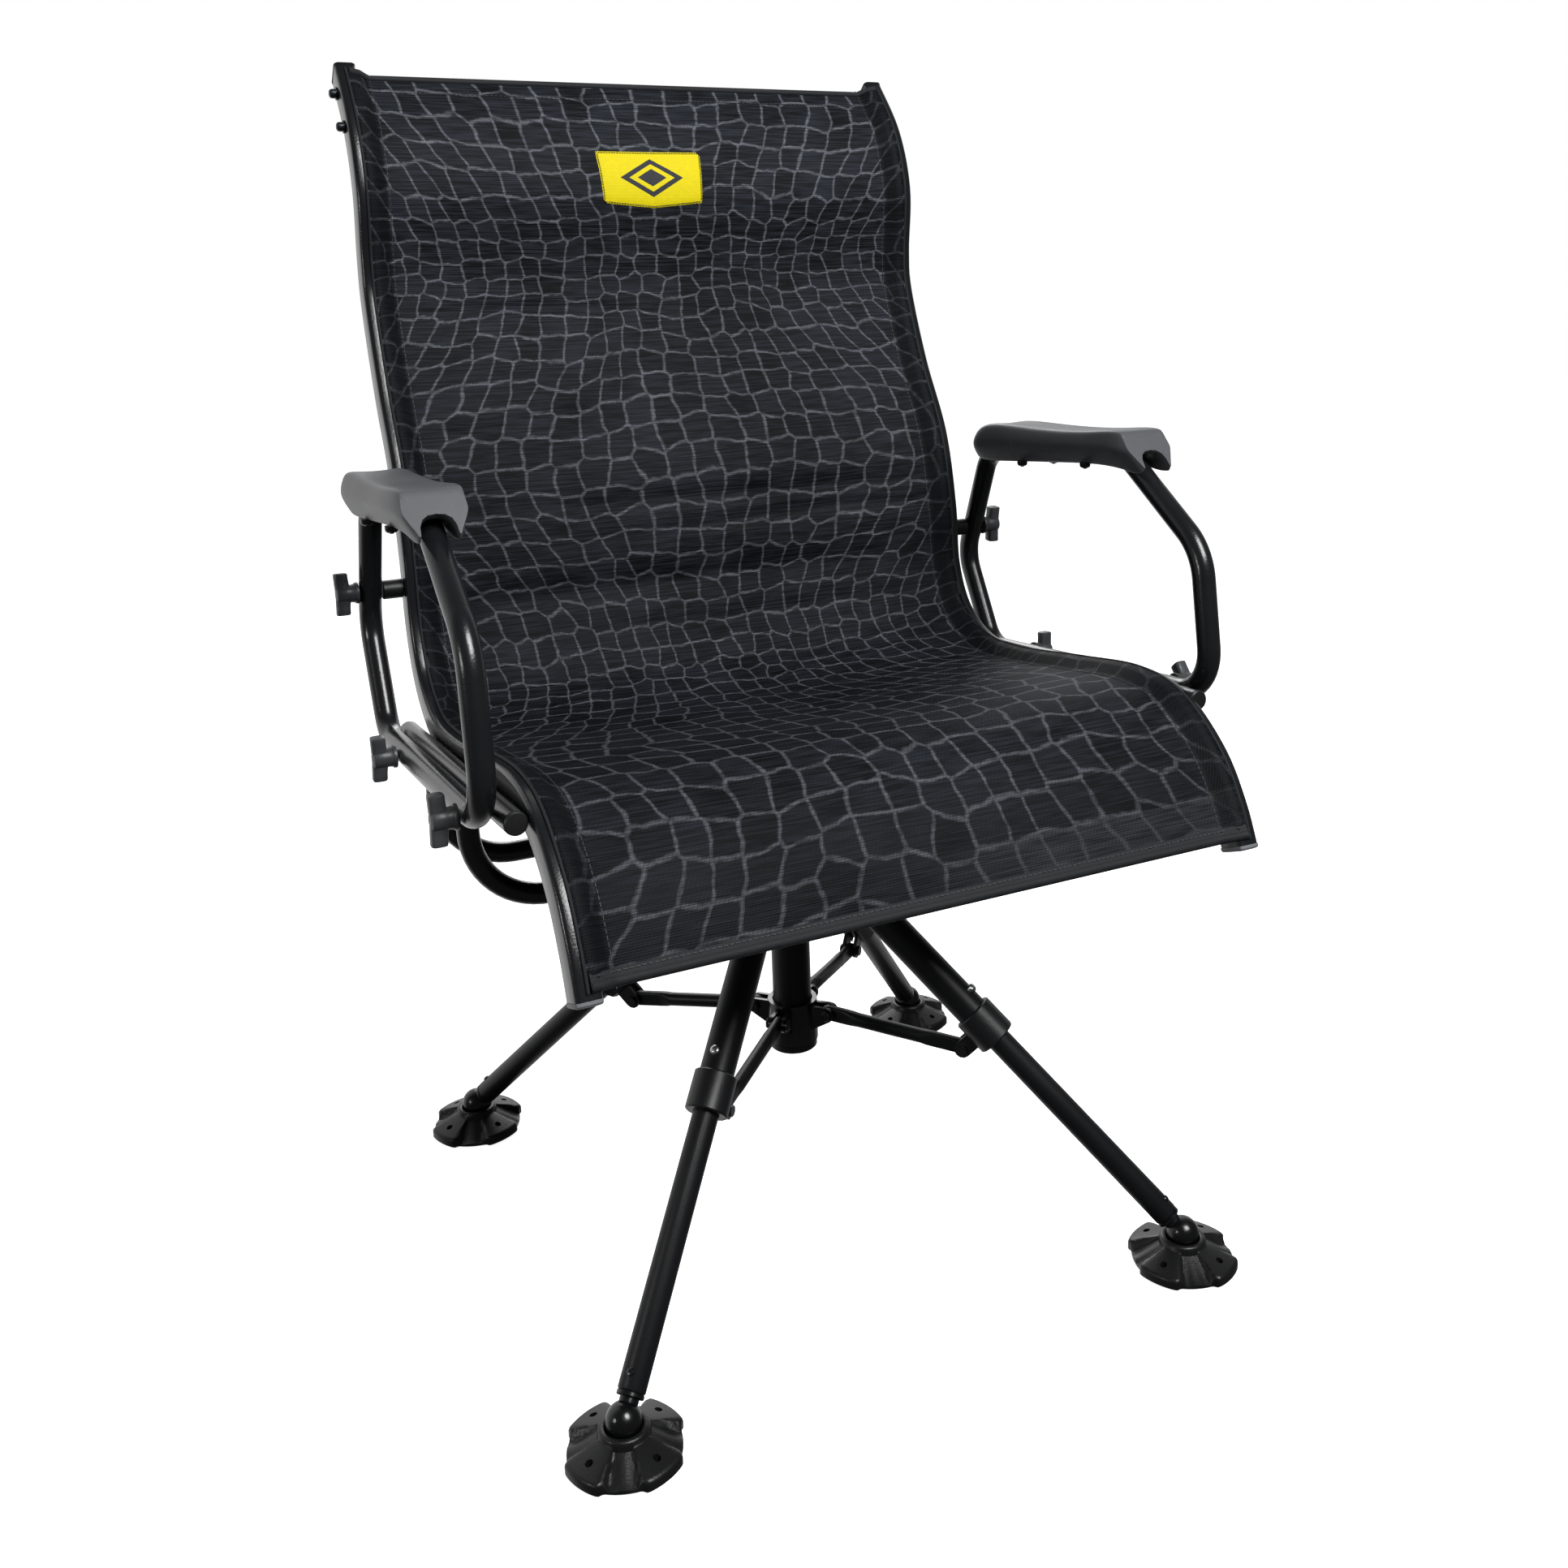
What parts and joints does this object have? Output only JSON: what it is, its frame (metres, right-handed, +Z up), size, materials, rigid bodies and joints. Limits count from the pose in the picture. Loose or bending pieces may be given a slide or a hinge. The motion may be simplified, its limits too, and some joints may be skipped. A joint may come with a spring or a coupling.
{
  "type": "blind swivel chair",
  "caption": "Folding swivel chair with a mesh sling seat and back between tube rails, padded arm loops and a collapsible four-legged base with ball feet.",
  "frame": {"origin": "on the floor, under the middle of the whole chair's box; the vertical swivel axis stands 11.6 mm in front of it, at y = -0.0116", "axes": "+Z up, the sitter faces -Y, +X is the sitter's left; the swivel axis is parallel to Z"},
  "size_m": [0.613, 0.5589, 0.9261],
  "materials": {
    "base_tube": "satin black powder coat",
    "frame_tube": "satin black powder coat",
    "black_fitting": "satin black",
    "dark_steel": "dark oxide",
    "grey_rubber": "moulded matt",
    "grey_plastic": "moulded matt",
    "plug_rim": "matt",
    "sling_mesh": "woven mesh with a printed crackle pattern"
  },
  "bodies": {
    "base": {"center_column": "base_tube", "leg_hub": "black_fitting", "bearing_ring": "dark_steel", "leg_pivot_bolt_1": "dark_steel", "leg_pivot_bolt_2": "dark_steel", "leg_pivot_bolt_3": "dark_steel", "leg_pivot_bolt_4": "dark_steel"},
    "slider": {"slider_hub": "black_fitting"},
    "leg_1": {"upper_leg_1": "base_tube", "leg_collar_1": "black_fitting"},
    "lower_1": {"lower_leg_1": "base_tube", "foot_ball_1": "black_fitting"},
    "pad_1": {"foot_pad_1": "grey_rubber"},
    "button_1": {"snap_button_1": "dark_steel"},
    "brace_link_1": {"brace_1": "base_tube"},
    "leg_2": {"upper_leg_2": "base_tube", "leg_collar_2": "black_fitting"},
    "lower_2": {"lower_leg_2": "base_tube", "foot_ball_2": "black_fitting"},
    "pad_2": {"foot_pad_2": "grey_rubber"},
    "button_2": {"snap_button_2": "dark_steel"},
    "brace_link_2": {"brace_2": "base_tube"},
    "leg_3": {"upper_leg_3": "base_tube", "leg_collar_3": "black_fitting"},
    "lower_3": {"lower_leg_3": "base_tube", "foot_ball_3": "black_fitting"},
    "pad_3": {"foot_pad_3": "grey_rubber"},
    "button_3": {"snap_button_3": "dark_steel"},
    "brace_link_3": {"brace_3": "base_tube"},
    "leg_4": {"upper_leg_4": "base_tube", "leg_collar_4": "black_fitting"},
    "lower_4": {"lower_leg_4": "base_tube", "foot_ball_4": "black_fitting"},
    "pad_4": {"foot_pad_4": "grey_rubber"},
    "button_4": {"snap_button_4": "dark_steel"},
    "brace_link_4": {"brace_4": "base_tube"},
    "seat": {"swivel_plate": "black_fitting", "support_u_front": "frame_tube", "support_u_rear": "frame_tube", "side_bar_left": "frame_tube", "side_bar_right": "frame_tube", "seat_rail_left": "frame_tube", "seat_rail_right": "frame_tube", "rail_plug_left": "plug_rim", "rail_plug_right": "plug_rim", "upper_stretcher": "frame_tube", "front_stretcher": "frame_tube", "sling": "sling_mesh", "arm_frame_left": "frame_tube", "arm_frame_right": "frame_tube", "arm_pad_left": "grey_rubber", "arm_pad_right": "grey_rubber", "arm_spacer_left": "black_fitting", "arm_spacer_right": "black_fitting"},
    "knob_upper_left": {"t_knob_upper_left": "grey_plastic"},
    "knob_rear_left": {"t_knob_rear_left": "grey_plastic"},
    "knob_front_left": {"t_knob_front_left": "grey_plastic"},
    "knob_upper_right": {"t_knob_upper_right": "grey_plastic"},
    "knob_rear_right": {"t_knob_rear_right": "grey_plastic"},
    "knob_front_right": {"t_knob_front_right": "grey_plastic"}
  },
  "joints": [
    {"name": "leg_fold_1", "type": "hinge", "parent": "base", "child": "leg_1", "pos_m": [0.0351, 0.02114, 0.275], "axis": [-0.682, 0.7314, 0], "range_deg": [0, 38]},
    {"name": "leg_extend_1", "type": "slide", "parent": "leg_1", "child": "lower_1", "axis": [0.5276, 0.492, -0.6926], "range_m": [0, 0.08]},
    {"name": "pad_tilt_1", "type": "hinge", "parent": "lower_1", "child": "pad_1", "pos_m": [0.22745, 0.2005, 0.0225], "axis": [0.682, -0.7314, 0], "range_deg": [-10, 60]},
    {"name": "button_press_1", "type": "slide", "parent": "leg_1", "child": "button_1", "axis": [-0.5065, -0.4723, -0.7214], "range_m": [0, 0.0024], "stiffness_N_per_m": 600},
    {"name": "leg_fold_2", "type": "hinge", "parent": "base", "child": "leg_2", "pos_m": [-0.03274, 0.02351, 0.275], "axis": [-0.7314, -0.682, 0], "range_deg": [0, 38]},
    {"name": "leg_extend_2", "type": "slide", "parent": "leg_2", "child": "lower_2", "axis": [-0.492, 0.5276, -0.6926], "range_m": [0, 0.08]},
    {"name": "pad_tilt_2", "type": "hinge", "parent": "lower_2", "child": "pad_2", "pos_m": [-0.2121, 0.21585, 0.0225], "axis": [0.7314, 0.682, 0], "range_deg": [-10, 60]},
    {"name": "button_press_2", "type": "slide", "parent": "leg_2", "child": "button_2", "axis": [0.4723, -0.5065, -0.7214], "range_m": [0, 0.0024], "stiffness_N_per_m": 600},
    {"name": "leg_fold_3", "type": "hinge", "parent": "base", "child": "leg_3", "pos_m": [-0.0351, -0.04434, 0.275], "axis": [0.682, -0.7314, 0], "range_deg": [0, 38]},
    {"name": "leg_extend_3", "type": "slide", "parent": "leg_3", "child": "lower_3", "axis": [-0.5276, -0.492, -0.6926], "range_m": [0, 0.08]},
    {"name": "pad_tilt_3", "type": "hinge", "parent": "lower_3", "child": "pad_3", "pos_m": [-0.22745, -0.2237, 0.0225], "axis": [-0.682, 0.7314, 0], "range_deg": [-10, 60]},
    {"name": "button_press_3", "type": "slide", "parent": "leg_3", "child": "button_3", "axis": [0.5065, 0.4723, -0.7214], "range_m": [0, 0.0024], "stiffness_N_per_m": 600},
    {"name": "leg_fold_4", "type": "hinge", "parent": "base", "child": "leg_4", "pos_m": [0.03274, -0.04671, 0.275], "axis": [0.7314, 0.682, 0], "range_deg": [0, 38]},
    {"name": "leg_extend_4", "type": "slide", "parent": "leg_4", "child": "lower_4", "axis": [0.492, -0.5276, -0.6926], "range_m": [0, 0.08]},
    {"name": "pad_tilt_4", "type": "hinge", "parent": "lower_4", "child": "pad_4", "pos_m": [0.2121, -0.23905, 0.0225], "axis": [-0.7314, -0.682, 0], "range_deg": [-10, 60]},
    {"name": "button_press_4", "type": "slide", "parent": "leg_4", "child": "button_4", "axis": [-0.4723, 0.5065, -0.7214], "range_m": [0, 0.0024], "stiffness_N_per_m": 600},
    {"name": "hub_slide", "type": "slide", "parent": "base", "child": "slider", "axis": [0, 0, 1], "range_m": [0, 0.06886]},
    {"name": "brace_turn_1", "type": "hinge", "parent": "slider", "child": "brace_link_1", "pos_m": [0.02267, 0.00954, 0.15881], "axis": [-0.682, 0.7314, 0], "range_deg": [0, 77.41]},
    {"name": "brace_turn_2", "type": "hinge", "parent": "slider", "child": "brace_link_2", "pos_m": [-0.02114, 0.01107, 0.15881], "axis": [-0.7314, -0.682, 0], "range_deg": [0, 77.41]},
    {"name": "brace_turn_3", "type": "hinge", "parent": "slider", "child": "brace_link_3", "pos_m": [-0.02267, -0.03274, 0.15881], "axis": [0.682, -0.7314, 0], "range_deg": [0, 77.41]},
    {"name": "brace_turn_4", "type": "hinge", "parent": "slider", "child": "brace_link_4", "pos_m": [0.02114, -0.03427, 0.15881], "axis": [0.7314, 0.682, 0], "range_deg": [0, 77.41]},
    {"name": "seat_swivel", "type": "hinge", "parent": "base", "child": "seat", "pos_m": [0, -0.0116, 0.303], "axis": [0, 0, 1], "continuous": true},
    {"name": "knob_turn_upper_left", "type": "hinge", "parent": "seat", "child": "knob_upper_left", "pos_m": [-0.2883, 0.1476, 0.5095], "axis": [-1, 0, 0], "continuous": true},
    {"name": "knob_turn_rear_left", "type": "hinge", "parent": "seat", "child": "knob_rear_left", "pos_m": [-0.2883, 0.0414, 0.4042], "axis": [-1, 0, 0], "continuous": true},
    {"name": "knob_turn_front_left", "type": "hinge", "parent": "seat", "child": "knob_front_left", "pos_m": [-0.2883, -0.1516, 0.4157], "axis": [-1, 0, 0], "continuous": true},
    {"name": "knob_turn_upper_right", "type": "hinge", "parent": "seat", "child": "knob_upper_right", "pos_m": [0.2883, 0.1476, 0.5095], "axis": [1, 0, 0], "continuous": true},
    {"name": "knob_turn_rear_right", "type": "hinge", "parent": "seat", "child": "knob_rear_right", "pos_m": [0.2883, 0.0624, 0.403], "axis": [1, 0, 0], "continuous": true},
    {"name": "knob_turn_front_right", "type": "hinge", "parent": "seat", "child": "knob_front_right", "pos_m": [0.2883, -0.1316, 0.4145], "axis": [1, 0, 0], "continuous": true}
  ],
  "couplings": [
    {"joint": "leg_fold_2", "follows": "leg_fold_1", "ratio": 1},
    {"joint": "leg_fold_3", "follows": "leg_fold_1", "ratio": 1},
    {"joint": "leg_fold_4", "follows": "leg_fold_1", "ratio": 1},
    {"joint": "hub_slide", "follows": "leg_fold_1", "m_per_rad": 0.10353},
    {"joint": "brace_turn_1", "follows": "leg_fold_1", "ratio": 2.0319},
    {"joint": "brace_turn_2", "follows": "leg_fold_1", "ratio": 2.0319},
    {"joint": "brace_turn_3", "follows": "leg_fold_1", "ratio": 2.0319},
    {"joint": "brace_turn_4", "follows": "leg_fold_1", "ratio": 2.0319}
  ]
}
